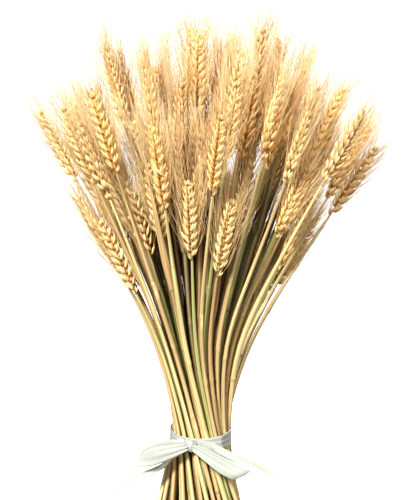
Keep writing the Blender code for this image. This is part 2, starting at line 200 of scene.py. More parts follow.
# The bow, station by station out from the knot and back: the ribbon's middle from the knot, then the way
# across it from its lower to its upper edge, both in millimetres
LEFT_LOOP = (
    ((-2, 1.5, 0.5), (0, 0, 8)),
    ((-14, 2.5, -2), (1, 0, 13)),
    ((-29, 1.5, -6.5), (3, 0, 17.5)),
    ((-42, -0.5, -10.5), (7, 0, 15)),
    ((-46, -3.5, -12.5), (8, 0, 12)),
    ((-41, -7, -12), (6, 0, 15)),
    ((-29, -8.5, -9), (2, 0, 17)),
    ((-14, -6.5, -4.5), (-1, 0, 12)),
    ((-2, -4, -0.8), (0, 0, 7)),
)
RIGHT_LOOP = (
    ((2, 1.5, 0.3), (0, 0, 7)),
    ((12, 1.5, -4), (2, 0, 10)),
    ((24, 1, -12), (4, 0, 12.5)),
    ((38, 0, -20), (9, 0, 11)),
    ((49, -3, -24), (12, 0, 7)),
    ((42, -6.5, -23), (9, 0, 10)),
    ((28, -7, -16), (4, 0, 12.5)),
    ((13, -5.5, -7), (2, 0, 9)),
    ((2, -3.5, -1), (0, 0, 6)),
)
LEFT_TAIL = (
    ((-2, 2.5, -1), (0, 0, 6)),
    ((-12, 3.5, -9), (2, 1.5, 6.5)),
    ((-24, 2, -19.5), (3, 3, 7)),
    ((-42, 0, -28), (3.5, 4, 7.5)),
    ((-56, -2, -34), (3.5, 5, 8)),
    ((-66.5, -3, -39), (4, 5, 8)),
)
RIGHT_TAIL = (
    ((2, 2.5, 2), (0, 0, 7)),
    ((18, 2, -1), (1, 0, 8)),
    ((36, 1, -8.5), (1.5, 0, 6.5)),
    ((54, 0, -15), (2, 0, 6)),
    ((69, -1, -20), (3, 0, 8)),
    ((78.5, -2, -23.3), (7, 0, 6.2)),
)

# The photograph's framing
PHOTO_HEIGHT = 0.450  # of what the frame shows at the bunch's middle
CAMERA_DISTANCE = 1.5
CAMERA_TARGET = Vector((0.0025, 0, 0.279))  # from the point on the floor below the ribbon's middle
CAMERA_ROLL = math.radians(-1.5)
SENSOR = 36

# The white surround
FLOOR_RADIUS = 7.0
FLOOR_MIDDLE = 0.001  # the small round face in the middle of the floor
SWEEP_RADIUS = 2.0
SWEEP_STEPS = 8
WALL_HEIGHT = 9.0
WALL_SIDES = 48
PAPER_GLOW = 0.95

# Each light's name, place, target, size and power
LIGHTS = (
    ("Key", (-0.8, -1.8, 1.2), (0, 0, 0.3), 0.5, 78),
    ("Fill", (0.7, -1.8, 0.4), (0, 0, 0.28), 1.0, 13),
    ("Back", (0.9, 1.9, 0.8), (0, 0, 0.25), 1.0, 52),
)
SKY = 0.20


def linear(value):
    """One channel of a colour on a screen, 0 to 255, as linear light."""
    share = value / 255
    return share / 12.92 if share <= 0.04045 else ((share + 0.055) / 1.055) ** 2.4


def rgb(red, green, blue):
    """A colour as on a screen, for a shader's socket."""
    return (linear(red), linear(green), linear(blue), 1)


def new_mesh(name, points, faces, materials):
    """A smooth mesh with its materials."""
    mesh = bpy.data.meshes.new(name)
    mesh.from_pydata(points, [], faces)
    for material in materials:
        mesh.materials.append(material)
    mesh.shade_smooth()
    return mesh


def new_object(name, data):
    """A mesh, light or camera as an object in the scene."""
    made = bpy.data.objects.new(name, data)
    bpy.context.scene.collection.objects.link(made)
    return made


# Layout


def ramp(distance, ease):
    """Nearly 0 below 0, nearly distance above it, and smooth between."""
    return (distance + math.sqrt(distance * distance + ease * ease)) / 2


def spread(rise):
    """How far a straw is moved and turned from its seat in the ribbon, as a complex factor."""
    crown = FAN * (ramp(rise - FAN_FROM, FAN_EASE) - ramp(-FAN_FROM, FAN_EASE))
    foot = FOOT * (ramp(-rise, FOOT_EASE) - ramp(0, FOOT_EASE))
    return complex(1 + max(crown, 0) + max(foot, 0), -TWIST * rise)


def seats():
    """Where the straws pass through the ribbon: evenly over the waist, in a sunflower's order."""
    reaches = [WAIST * math.sqrt((i + 0.5) / STALKS) for i in range(STALKS)]
    return np.array([reach * cmath.exp(1j * i * GOLDEN_ANGLE) for i, reach in enumerate(reaches)])


def pair_up(points):
    """Each straw and the nearest straw not yet taken, from the outside in."""
    free = sorted(range(len(points)), key=lambda i: -abs(points[i]))
    pairs = []
    while free:
        first = free.pop(0)
        second = min(free, key=lambda i: abs(points[i] - points[first]))
        free.remove(second)
        pairs.append((first, second))
    return pairs


def ear_spans(points, rng):
    """The rise of each ear's base and tip. Outer straws may be short, so that their ears hang low."""
    spans = []
    for seat in points:
        outer = min(1.0, max(0.0, (abs(seat) / WAIST - INNER_SEAT) / (OUTER_SEAT - INNER_SEAT)))
        shortest, longest = (a + (b - a) * outer for a, b in zip(INNER_LENGTHS, OUTER_LENGTHS))
        straw = shortest + (longest - shortest) * rng.random()
        length, rise, base = 0.0, 0.0, None
        while length < straw + EAR_LENGTH:
            moved = abs(seat * (spread(rise + RISE_STEP) - spread(rise)))
            length += math.hypot(moved, RISE_STEP)
            rise += RISE_STEP
            if base is None and length >= straw:
                base = rise
        spans.append((base, rise))
    return np.array(spans)


def settle(points, spans, pairs, rng):
    """The stalks' places at each level, as complex numbers: the spiral with a wander of each stalk's own,
    pushed apart where two would cross and drawn together where the ribbon presses a pair."""
    rises = np.arange(-TIE_HEIGHT, TOP, STEP)
    factors = np.array([spread(rise) for rise in rises])
    room = np.abs(factors) - 1
    places = points[:, None] * factors[None, :]
    for i in range(len(points)):
        wander = cmath.rect(WANDER * rng.random() ** 0.5, rng.uniform(0, 2 * math.pi))
        bow = cmath.rect(BOW, rng.uniform(0, 2 * math.pi))
        places[i] += wander * room + bow * room * np.sin(rises * rng.uniform(*BOW_WAVES))

    in_ear = (rises > spans[:, :1] - EAR_MARGINS[0]) & (rises < spans[:, 1:] + EAR_MARGINS[1])
    radius = np.where(in_ear, EAR_SPACE, STRAW_SPACE)
    need = radius[:, None, :] + radius[None, :, :]
    pressed = np.abs(rises) < PRESSED_REACH
    near = np.abs(rises) < 2 * PRESSED_REACH
    for a, b in pairs:
        need[a, b, near] = need[b, a, near] = NEARLY_PRESSED
        need[a, b, pressed] = need[b, a, pressed] = PRESSED
    itself = np.eye(len(points), dtype=bool)[:, :, None]
    free = places
    waist = (WAIST * np.abs(factors))[None, :]
    gripped = (rises < GRIPPED_TO)[None, :]
    for turn in range(ROUNDS):
        apart = places[:, None, :] - places[None, :, :]
        gap = np.abs(apart) + itself
        push = np.where(itself, 0, np.maximum(need - gap, 0)) * PUSH
        places = places + (push * apart / gap).sum(axis=1)
        for a, b in pairs:
            off = places[a, pressed] - places[b, pressed]
            pull = (1 - PRESSED / np.abs(off)) * off / 2
            places[a, pressed] -= pull
            places[b, pressed] += pull
        outside = np.maximum(np.abs(places) / waist, 1)
        places = np.where(gripped, places / outside, places)
        if turn < ROUNDS - LAST_ROUNDS:
            moved = places - free
            ends = (moved[:, :-2] + moved[:, 2:]) / 2
            moved[:, 1:-1] += (ends - moved[:, 1:-1]) * SMOOTHING
            places = free + moved
    return rises, places


class Stalk:
    """A settled stalk's centre line, read by its rise above the ribbon."""

    def __init__(self, rises, places, span):
        self.rises, self.places = rises, places
        self.base, self.tip = span

    def at(self, rise):
        """The centre line's point at the rise."""
        place = complex(
            np.interp(rise, self.rises, self.places.real),
            np.interp(rise, self.rises, self.places.imag),
        )
        return Vector((place.real, place.imag, TIE_HEIGHT + rise))

    def along(self, rise, reach=0.01):
        """The way it points there."""
        return (self.at(rise + reach) - self.at(rise - reach)).normalized()


def across(direction, towards):
    """The unit vector square to direction that points most nearly towards."""
    return (towards - direction * towards.dot(direction)).normalized()


def swing(first, second, angle):
    """The way that lies an angle round from the first way towards the second."""
    return first * math.cos(angle) + second * math.sin(angle)


def ear_envelope(share):
    """The ear's width at a share of its length, as a share of its widest."""
    return (0.66 + 0.34 * min(1, share / 0.22)) * (1 - 0.50 * share**3)


# Mesh building


STRAW_SLOT, CHAFF_SLOT, AWN_SLOT = range(3)


class Growth:
    """One piece while it grows: points, faces and their material slots, and what the materials read at each
    point. tint holds the part's tone, its mark (how brown a straw is there, at the bottom of its hollow as
    painted shade, or a husk's or awn's own draw) and a share: how deep in the bunch a straw is, which darkens
    it as painted shade; how ripe a husk is, lowered on its inner side as painted shade; or how far along its
    awn the point is.
    lengthwise holds the place in the part's own straight form, so that fibres run along it as it leans."""

    def __init__(self):
        self.points, self.faces, self.slots, self.tints, self.lengthwise = [], [], [], [], []
        self.count = 0

    def add(self, points, faces, slot, tints, lengthwise):
        """Takes in one part, whose faces count its own points."""
        self.points.append(np.array(points, float))
        self.tints.append(np.array(tints, float))
        self.lengthwise.append(np.array(lengthwise, float))
        self.faces += [[i + self.count for i in face] for face in faces]
        self.slots += [slot] * len(faces)
        self.count += len(points)

    def repeat(self, points, faces, slot, tone, marks, shares, lengthwise):
        """The same with many alike parts at once: the arrays have one more axis, over the parts. They have
        one tone, a mark each, and the same shares."""
        parts, size = points.shape[:2]
        tints = np.empty(points.shape)
        tints[:, :, 0] = tone
        tints[:, :, 1] = marks[:, None]
        tints[:, :, 2] = shares
        for number in range(parts):
            shift = self.count + number * size
            self.faces += [[i + shift for i in face] for face in faces]
        self.slots += [slot] * (len(faces) * parts)
        self.points.append(points.reshape(-1, 3))
        self.tints.append(tints.reshape(-1, 3))
        self.lengthwise.append(lengthwise.reshape(-1, 3))
        self.count += parts * size

    def piece(self, name, finishes):
        """The grown piece as an object, in the frame's own place."""
        points = np.concatenate(self.points) - np.array(MIDDLE)
        mesh = new_mesh(name, points.tolist(), self.faces, finishes)
        mesh.polygons.foreach_set("material_index", self.slots)
        for kind, values in (("tint", self.tints), ("lengthwise", self.lengthwise)):
            layer = mesh.attributes.new(kind, "FLOAT_VECTOR", "POINT")
            layer.data.foreach_set("vector", np.concatenate(values).astype(np.float32).ravel())
        mesh.update()
        return new_object(name, mesh)


def tube_faces(sides, levels, start_cap=False, end_cap=False, tip=False):
    """The faces of a tube of rings, its ends open, capped or, at the top, drawn to a tip."""
    faces = []
    for level in range(levels - 1):
        for i in range(sides):
            j = (i + 1) % sides
            low, high = level * sides, (level + 1) * sides
            faces.append([low + i, low + j, high + j, high + i])
    last = (levels - 1) * sides
    if start_cap:
        faces.append(list(range(sides))[::-1])
    if end_cap:
        faces.append([last + i for i in range(sides)])
    if tip:
        faces += [[last + i, last + (i + 1) % sides, levels * sides] for i in range(sides)]
    return faces


def husk_form():
    """A husk of unit size: x across, y outwards and z along it. It is plump low down, drawn to a point,
    keeled outside and flatter inside, and closed by a point at its root. Its ripeness runs from 0 at the
    root to 1 at the tip, and is lowered on its inner side as painted shade in the creases between husks."""
    points, ripeness_and_shade = [], []
    for level in range(HUSK_LEVELS):
        share = (level + 0.5) / HUSK_LEVELS
        plump = math.sin(math.pi * share**0.72) ** 0.75 * (1 - 0.25 * share)
        for side in range(HUSK_SIDES):
            angle = 2 * math.pi * side / HUSK_SIDES + math.pi / 2
            outwards = math.sin(angle)
            keel = 1 + HUSK_KEEL * max(0, outwards) ** 6
            flat = 1 if outwards > 0 else HUSK_INNER
            points.append((math.cos(angle) * plump, outwards * plump * keel * flat, share))
            # The inner side's share is lowered as painted shade, which keeps it browner and less cream
            ripeness_and_shade.append(share * (1 - HUSK_INNER_SHADE * (1 - outwards)))
    points += [(0, 0, 1), (0, 0, 0)]
    ripeness_and_shade += [1, 0]
    faces = tube_faces(HUSK_SIDES, HUSK_LEVELS, tip=True)
    root = len(points) - 1
    faces += [[(i + 1) % HUSK_SIDES, i, root] for i in range(HUSK_SIDES)]
    return np.array(points), faces, np.array(ripeness_and_shade)


# One stalk


def ear_facing(stalk, towards, spin):
    """The way in which the spikelets alternate, turned about the ear as on the solids."""
    side = towards
    for rise in (rise for rise in STRAW_RISES if rise < stalk.base - SOLID_NECK):
        direction = Vector((0, 0, 1)) if rise == STRAW_RISES[0] else stalk.along(rise)
        side = across(direction, side)
    direction = stalk.along(stalk.base)
    side = across(direction, side)
    quarter = round(spin / (math.pi / 2))
    turned = Matrix.Rotation(spin - quarter * math.pi / 2, 3, direction) @ side
    return turned if quarter % 2 == 0 else direction.cross(turned)


def inside(stalk, rise):
    """How deep in the bunch the stalk is at the rise: 0 at its skin and 1 well inside. By this the straw
    and its leaves are painted darker, as shade.
    """
    at = stalk.at(rise)
    share = math.hypot(at.x, at.y) / (WAIST * abs(spread(rise)))
    return min(1, max(0, (SKIN - share) / SKIN_DEPTH))


def grow_straw(growth, stalk, tone, rng):
    """The straw: a round tube from its cut end to the ear, with two joints and a frayed sheath on each."""
    joints = [rng.uniform(*span) for span in JOINT_RISES]
    joints = [rise for rise in joints if rise < stalk.base - JOINT_TO_EAR]
    sheaths = [(joint, joint + rng.uniform(*SHEATH_LENGTH)) for joint in joints]
    levels = {-TIE_HEIGHT, stalk.base + EAR_OVERLAP}
    levels.update(float(rise) for rise in np.arange(-TIE_HEIGHT + STEP, stalk.base, STEP))
    edges = set()
    for joint, end in sheaths:
        levels.update((joint - JOINT_REACH, joint, joint + JOINT_REACH))
        if end < stalk.base - SHEATH_FRAY * 3:
            levels.update((end, end + SHEATH_LIP))
            edges.add(end)
    start = rng.uniform(0, 1)
    thickness = rng.uniform(*STRAW_THICKNESS)
    browned = rng.random() ** 3
    side = Vector((1, 0, 0))
    points, tints, lengthwise = [], [], []
    phase = rng.uniform(0, 2 * math.pi)
    for rise in sorted(levels):
        direction = Vector((0, 0, 1)) if rise == -TIE_HEIGHT else stalk.along(rise)
        side = across(direction, side)
        second = direction.cross(side)
        sheathed = any(joint <= rise <= end for joint, end in sheaths)
        thinned = min(1, max(0, (rise - stalk.base + NECK_REACH) / NECK_REACH))
        near = min([abs(rise - joint) for joint in joints], default=1)
        swell = math.exp(-((near / JOINT_REACH) ** 2) * 2)
        radius = thickness * (STRAW_RADIUS + (NECK_RADIUS - STRAW_RADIUS) * thinned)
        radius += SHEATH_ROOM * sheathed + JOINT_SWELL * swell
        mark = SHEATH_EDGE_MARK if rise in edges else swell * browned
        for i in range(STRAW_SIDES):
            angle = 2 * math.pi * i / STRAW_SIDES + phase
            way = swing(side, second, angle)
            fray = rng.uniform(0, SHEATH_FRAY) if rise in edges else 0
            points.append(stalk.at(rise) + way * radius + direction * fray)
            # The third value, the stalk's depth in the bunch, paints the straw darker there as shade
            tints.append((tone, mark, inside(stalk, rise)))
            lengthwise.append((math.cos(angle) * radius, math.sin(angle) * radius, rise + start))
    growth.add(points, tube_faces(STRAW_SIDES, len(levels)), STRAW_SLOT, tints, lengthwise)
    cut_end(growth, np.array(points[:STRAW_SIDES]), np.array(stalk.at(-TIE_HEIGHT)), tone)
    for joint, end in sheaths[1:]:
        if inside(stalk, 0) > LEAFY_FROM:
            for leaf in range(LEAVES):
                grow_leaf(growth, stalk, end, tone, rng)


def grow_leaf(growth, stalk, foot, tone, rng):
    """A strip of a dried leaf: a narrow blade that runs up beside the straw from its sheath's lip."""
    rows, columns = 9, 3
    length = min(rng.uniform(*LEAF_LENGTH), stalk.tip - foot)
    width = rng.uniform(*LEAF_WIDTH)
    turn = rng.uniform(0, 2 * math.pi)
    lean = rng.uniform(*LEAF_LEAN)
    twist = rng.uniform(*LEAF_TWIST)
    points, tints, lengthwise = [], [], []
    for row in range(rows):
        share = row / (rows - 1)
        rise = foot - LEAF_FOOT + length * share
        direction = stalk.along(rise)
        side = across(direction, Vector((math.cos(turn), math.sin(turn), 0)))
        middle = stalk.at(rise) + side * (STRAW_RADIUS + lean * math.sin(share * math.pi * 0.6))
        edge = Matrix.Rotation(twist * share, 3, direction) @ direction.cross(side)
        half = width / 2 * (1 - share**2.2) * (0.5 + 0.5 * min(1, share * 5))
        for column in range(columns):
            offset = column - 1
            fold = side * (LEAF_FOLD * half * abs(offset))
            points.append(middle + edge * half * offset + fold)
            # The third value, the stalk's depth in the bunch, paints the leaf darker there as shade
            tints.append((tone * LEAF_TONE, LEAF_BROWNING * share, inside(stalk, rise)))
            lengthwise.append((half * offset, LEAF_GRAIN, rise))
    growth.add(points, grid_faces(rows, columns), STRAW_SLOT, tints, lengthwise)


def cut_end(growth, rim, middle, tone):
    """The straw's cut end: its wall, and the hollow inside it, painted dark at its bottom as shade."""
    inner = middle + (rim - middle) * STRAW_WALL
    deep = inner + np.array((0, 0, HOLLOW_DEPTH))
    points = np.concatenate([deep, inner, rim])
    # The bottom of the hollow takes the full brown mark and the full darkening of a deep straw: painted shade
    tints = [(tone, 1, 1)] * STRAW_SIDES + [(tone, 0, 0)] * (2 * STRAW_SIDES)
    faces = tube_faces(STRAW_SIDES, 3)
    faces.append(list(range(STRAW_SIDES))[::-1])
    growth.add(points, faces, STRAW_SLOT, tints, points - middle)


def spikelet(root, direction, out, size, rng):
    """The husks of one spikelet as (root, direction, outwards, width, depth, length)."""
    beside = direction.cross(out)
    husks = []
    for side, up, off, lean, splay, width, depth, length in HUSKS:
        lean = math.radians(lean + rng.uniform(-HUSK_LEAN, HUSK_LEAN))
        splay = math.radians(splay + rng.uniform(-HUSK_SPLAY, HUSK_SPLAY)) * side
        way = swing(out, beside, splay)
        pointing = swing(direction, way, lean)
        start = root + direction * up * size + beside * side * off * size
        scale = size * rng.uniform(*HUSK_SIZES)
        husks.append((start, pointing, across(pointing, way), width * scale, depth * scale, length * scale))
    return husks


def grow_ear(growth, stalk, facing, tone, husk, rng):
    """The ear: a slim rachis, and spikelets to its left and right in turn up to one at the tip."""
    husks, awns = [], []
    count = rng.randint(*SPIKELETS)
    for k in range(count):
        share = (k + 0.5) / count
        rise = stalk.base + (stalk.tip - stalk.base) * share * SPIKELET_REACH
        direction = stalk.along(rise)
        out = across(direction, facing) * (1 if k % 2 else -1)
        size = ear_envelope(share) * (LOWEST_SPIKELET if k == 0 else 1)
        if k == count - 1:
            out = direction.cross(out)
        root = stalk.at(rise) + out * SPIKELET_ROOT
        made = spikelet(root, direction, out, size, rng)
        husks += made
        for number in AWNED_HUSKS:
            start, pointing, outwards, width, depth, length = made[number]
            strength = GLUME_AWN if number < GLUMES else 1
            awns.append((start, pointing, length, direction, share, strength))
    grow_husks(growth, husks, tone, husk, rng)
    grow_rachis(growth, stalk, facing, tone)
    grow_awns(growth, awns, tone, rng)


def grow_husks(growth, husks, tone, husk, rng):
    """All the ear's husks at once: the unit husk, sized, bowed outwards and set at each one's place."""
    form, faces, ripeness_and_shade = husk
    roots, ways, outs, *sizes = (np.array(values, float) for values in zip(*husks))
    sizes = np.stack(sizes, axis=1) * (0.5, 0.5, 1)
    draws = np.array([[rng.random() for draw in range(4)] for husk in husks])
    sides = np.cross(outs, ways)
    shaped = form[None, :, :] * sizes[:, None, :]
    shaped[:, :, 1] += np.sin(form[:, 2] * math.pi)[None, :] * HUSK_ARCH * sizes[:, 2:3]
    points = (
        roots[:, None, :]
        + sides[:, None, :] * shaped[:, :, :1]
        + outs[:, None, :] * shaped[:, :, 1:2]
        + ways[:, None, :] * shaped[:, :, 2:]
    )
    lengthwise = shaped + draws[:, None, 1:]
    growth.repeat(points, faces, CHAFF_SLOT, tone, draws[:, 0], ripeness_and_shade, lengthwise)


def grow_scrap(growth, stalk, rng):
    """A torn, curled scrap of dry leaf caught slantwise in the husks."""
    rows, columns = 12, 3
    rise = stalk.base + (stalk.tip - stalk.base) * rng.uniform(*SCRAP_PLACE)
    along = stalk.along(rise)
    out = across(along, Vector((rng.uniform(-SCRAP_TURN, SCRAP_TURN), -1, 0)))
    slant = Matrix.Rotation(rng.uniform(*SCRAP_SLANT) * rng.choice((-1, 1)), 3, out) @ along
    length, width = rng.uniform(*SCRAP_LENGTH), rng.uniform(*SCRAP_WIDTH)
    curl = rng.uniform(*SCRAP_CURL)
    points, tints, lengthwise = [], [], []
    for row in range(rows):
        share = row / (rows - 1)
        middle = stalk.at(rise) + out * (SCRAP_STAND + SCRAP_ARCH * math.sin(share * math.pi))
        middle += slant * length * (share - 0.5)
        edge = Matrix.Rotation(share * curl, 3, slant) @ slant.cross(out)
        half = width / 2 * math.sin(math.pi * (0.08 + 0.86 * share)) ** 0.6
        for column in range(columns):
            points.append(middle + edge * half * (column - 1))
            tints.append((SCRAP_TONE, 0, 0))
            lengthwise.append((half * (column - 1), 0, share * length))
    growth.add(points, grid_faces(rows, columns), STRAW_SLOT, tints, lengthwise)


def grow_rachis(growth, stalk, facing, tone):
    """The ear's own stem, between its two rows of spikelets."""
    sides, levels = 5, 8
    points = []
    for rise in np.linspace(stalk.base - EAR_OVERLAP, stalk.tip - RACHIS_END, levels):
        direction = stalk.along(rise)
        side = across(direction, facing)
        second = direction.cross(side)
        for i in range(sides):
            way = swing(side, second, 2 * math.pi * i / sides)
            points.append(stalk.at(rise) + way * RACHIS_RADIUS)
    tints = [(tone, *RACHIS_TINT)] * len(points)
    growth.add(points, tube_faces(sides, levels, True, True), CHAFF_SLOT, tints, points)


def grow_awns(growth, awns, tone, rng):
    """The beard: each awn leaves the tip of its floret and bends up along the ear."""
    bends = []
    for start, pointing, length, direction, share, strength in awns:
        root = start + pointing * length * AWN_ROOT
        reach = AWN_LENGTHS[0] + (AWN_LENGTHS[1] - AWN_LENGTHS[0]) * share
        reach *= rng.uniform(*AWN_SPREAD) * strength
        reach *= 1 + UPRIGHT_GAIN * max(0, (direction.z - UPRIGHT_FROM) / (1 - UPRIGHT_FROM))
        lean = rng.uniform(*(STRAY_LEAN if rng.random() < STRAY_AWNS else AWN_LEAN))
        turn = Matrix.Rotation(rng.uniform(-1, 1), 3, direction)
        out = turn @ across(direction, pointing)
        final = swing(direction, out, lean)
        middle = root + pointing * reach * AWN_LEAVING
        end = root + pointing * reach * AWN_BENT + final * reach * (1 - AWN_BENT)
        bends.append((root, middle, end))
    starts, middles, ends = (np.array(values, float) for values in zip(*bends))
    chord = ends - starts
    chord /= np.linalg.norm(chord, axis=1)[:, None]
    side = np.cross(chord, np.array(ACROSS_AWNS))
    side /= np.linalg.norm(side, axis=1)[:, None]
    second = np.cross(chord, side)
    size = AWN_SIDES * AWN_RINGS + 1
    points = np.empty((len(bends), size, 3))
    shares = np.empty(size)
    for level in range(AWN_RINGS):
        share = level / AWN_RINGS
        middle = starts * (1 - share) ** 2 + middles * (2 * share * (1 - share)) + ends * share**2
        radius = AWN_RADIUS * (1 - AWN_TAPER * share)
        for i in range(AWN_SIDES):
            way = swing(side, second, 2 * math.pi * i / AWN_SIDES)
            points[:, level * AWN_SIDES + i] = middle + way * radius
            shares[level * AWN_SIDES + i] = share
    points[:, -1] = ends
    shares[-1] = 1
    marks = np.array([rng.random() for awn in awns])
    faces = tube_faces(AWN_SIDES, AWN_RINGS, start_cap=True, tip=True)
    growth.repeat(points, faces, AWN_SLOT, tone, marks, shares, points - starts[:, None, :])


# The ribbon


def convex_outline(points):
    """The corners of the tightest outline round the points, in order."""
    points = sorted(points)
    outline = []
    for run in (points, points[::-1]):
        half = []
        for x, y in run:
            while len(half) > 1:
                (ax, ay), (bx, by) = half[-2:]
                if (bx - ax) * (y - ay) - (by - ay) * (x - ax) > 0:
                    break
                half.pop()
            half.append((x, y))
        outline += half[:-1]
    return outline


def reach_to(outline, angle):
    """How far the outline is from the middle in the direction of the angle."""
    way = (math.cos(angle), math.sin(angle))
    for (ax, ay), (bx, by) in zip(outline, outline[1:] + outline[:1]):
        cross = way[0] * (by - ay) - way[1] * (bx - ax)
        if abs(cross) < 1e-12:
            continue
        reach = (ax * (by - ay) - ay * (bx - ax)) / cross
        along = (ax * way[1] - ay * way[0]) / cross
        if reach > 0 and -1e-9 <= along <= 1 + 1e-9:
            return reach
    return 0.0


class Girth:
    """The tightest wrap round all the straws, read by its angle and its rise above the ribbon."""

    def __init__(self, stalks):
        self.angles = np.linspace(-math.pi, math.pi, GIRTH_SIDES + 1)
        radius = STRAW_RADIUS + SHEATH_ROOM
        rim = [cmath.rect(radius, 2 * math.pi * i / RIM_POINTS) for i in range(RIM_POINTS)]
        self.reaches = []
        for rise in GIRTH_RISES:
            places = [stalk.at(rise) for stalk in stalks]
            edges = [(at.x + off.real, at.y + off.imag) for at in places for off in rim]
            outline = convex_outline(edges)
            self.reaches.append([reach_to(outline, angle) for angle in self.angles])
        self.reaches = np.array(self.reaches)

    def at(self, angle, rise):
        """How far the wrap is from the middle."""
        angle = (angle + math.pi) % (2 * math.pi) - math.pi
        level = np.interp(rise, GIRTH_RISES, range(len(GIRTH_RISES)))
        low = int(min(level, len(GIRTH_RISES) - 2))
        below, above = (np.interp(angle, self.angles, self.reaches[i]) for i in (low, low + 1))
        return below + (above - below) * (level - low)

    def outside(self, point, room):
        """The point, moved straight out where it would lie nearer than room to the straws."""
        radius = math.hypot(point.x, point.y)
        least = self.at(math.atan2(point.y, point.x), point.z - TIE_HEIGHT) + room
        outward = max(1, least / radius)
        return Vector((point.x * outward, point.y * outward, point.z))


def grid_faces(rows, columns, first=0, closed=False):
    """The faces of a strip of rows of points, counted from first. Where it is closed, its last row joins
    its first."""
    faces = []
    for row in range(rows if closed else rows - 1):
        here = first + row * columns
        after = first + (row + 1) % rows * columns
        for column in range(columns - 1):
            faces.append([here + column, after + column, after + column + 1, here + column + 1])
    return faces


def band(points, faces, girth):
    """The ribbon round the waist, lower in front, and gathered into folds at the knot."""
    to_knot = math.atan2(KNOT.y, KNOT.x)
    for row in range(BAND_ROWS):
        angle = to_knot + 2 * math.pi * row / BAND_ROWS
        near = (1 + math.cos(angle - to_knot)) / 2
        half = (BAND_WIDTH + (BAND_GATHERED - BAND_WIDTH) * near**4) / 2
        middle = BAND_DROP * math.sin(angle)
        out = Vector((math.cos(angle), math.sin(angle), 0))
        reach = max(girth.at(angle, middle + off) for off in (half, -half, 0))
        for column in range(BAND_COLUMNS):
            share = column / (BAND_COLUMNS - 1) * 2 - 1
            wave = 1 + math.sin(share * 9 + 2 * math.sin(angle - to_knot))
            fold = BAND_FOLD * (0.35 + near**3) * wave
            height = TIE_HEIGHT + middle + half * share
            points.append(out * (reach + BAND_ROOM + fold) + Vector((0, 0, height)))
    faces += grid_faces(BAND_ROWS, BAND_COLUMNS, closed=True)


def between(values, place):
    """A smooth curve through the values, read at a place counted in them."""
    values = np.array(values, float)
    last = len(values) - 1
    first = min(int(place), last - 1)
    share = place - first
    before, after = values[max(first - 1, 0)], values[min(first + 2, last)]
    a, b = values[first], values[first + 1]
    return (
        a
        + (b - before) * share / 2
        + (2 * before - 5 * a + 4 * b - after) * share**2 / 2
        + (3 * a - before - 3 * b + after) * share**3 / 2
    )


def bow_strip(points, faces, stations, gathered, girth):
    """A loop or tail through its stations, with soft pleats where it is gathered into the knot: at its start,
    and for a loop, whose gathered is 1 and not 0, at its end too."""
    last = len(stations) - 1
    rows = BOW_ROWS * last + 1
    first = len(points)
    middles, widths = zip(*stations)
    for row in range(rows):
        place = row / BOW_ROWS
        middle = Vector(between(middles, place)) / 1000
        width = Vector(between(widths, place)) / 1000
        ahead = Vector(between(middles, min(place + 0.1, last)) - between(middles, max(place - 0.1, 0)))
        face = ahead.cross(width).normalized()
        along = place / last
        near_knot = max(math.exp(-along * 7), gathered * math.exp(-(1 - along) * 7))
        for column in range(BOW_COLUMNS):
            share = column / (BOW_COLUMNS - 1) * 2 - 1
            pleat = PLEAT * near_knot * math.sin(share * 8.5 + 2 * along)
            roll = ROLL * math.sin(share * 2.6 + along * 9)
            flat = KNOT + middle + width / 2 * share
            points.append(girth.outside(flat + face * (pleat + roll), BOW_ROOM))
    faces += grid_faces(rows, BOW_COLUMNS, first)


def knot(points, faces, girth):
    """The knot: a short wrap of ribbon over the crossing, creased along its length."""
    tilt = Matrix.Rotation(KNOT_TILT, 3, "Y")
    first = len(points)
    for row in range(KNOT_ROWS):
        turn = 2 * math.pi * row / KNOT_ROWS
        for column in range(KNOT_COLUMNS):
            share = column / (KNOT_COLUMNS - 1) * 2 - 1
            rounded = (1.02 - share**6) ** 0.5 * (1 - 0.20 * share**2)
            crease = 1 + 0.09 * math.sin(share * 8 + turn)
            radius = KNOT_RADIUS * rounded * crease
            back = KNOT_BULGE * share**2 - KNOT_SETTING - math.cos(turn) * radius * 0.8
            wrap = Vector((share * KNOT_LENGTH / 2, back, math.sin(turn) * radius * 1.2))
            points.append(girth.outside(KNOT + tilt @ wrap, BOW_ROOM))
    faces += grid_faces(KNOT_ROWS, KNOT_COLUMNS, first, closed=True)


def ribbon(finish, girth):
    """The whole ribbon as one piece of its real thickness."""
    points, faces = [], []
    band(points, faces, girth)
    for stations, gathered in ((LEFT_LOOP, 1), (RIGHT_LOOP, 1), (LEFT_TAIL, 0), (RIGHT_TAIL, 0)):
        bow_strip(points, faces, stations, gathered, girth)
    knot(points, faces, girth)
    points = [point - MIDDLE for point in points]
    made = new_object("Satin_bow", new_mesh("Satin_bow", points, faces, [finish]))
    solid = made.modifiers.new("Thickness", "SOLIDIFY")
    solid.thickness = RIBBON_THICKNESS
    solid.offset = 0
    return made


# Materials


def fill(tree, node, inputs):
    """Links each of the node's inputs to a socket, or sets it to a value."""
    for name, value in inputs.items():
        if isinstance(value, bpy.types.NodeSocket):
            tree.links.new(value, node.inputs[name])
        else:
            node.inputs[name].default_value = value


def new_node(tree, kind, inputs=None, **settings):
    """A shader node with its settings and inputs."""
    node = tree.nodes.new(kind)
    for name, value in settings.items():
        setattr(node, name, value)
    fill(tree, node, inputs or {})
    return node


def new_material(name):
    """A material, its node tree and its shader."""
    material = bpy.data.materials.new(name)
    material.use_nodes = True
    return material, material.node_tree, material.node_tree.nodes["Principled BSDF"]


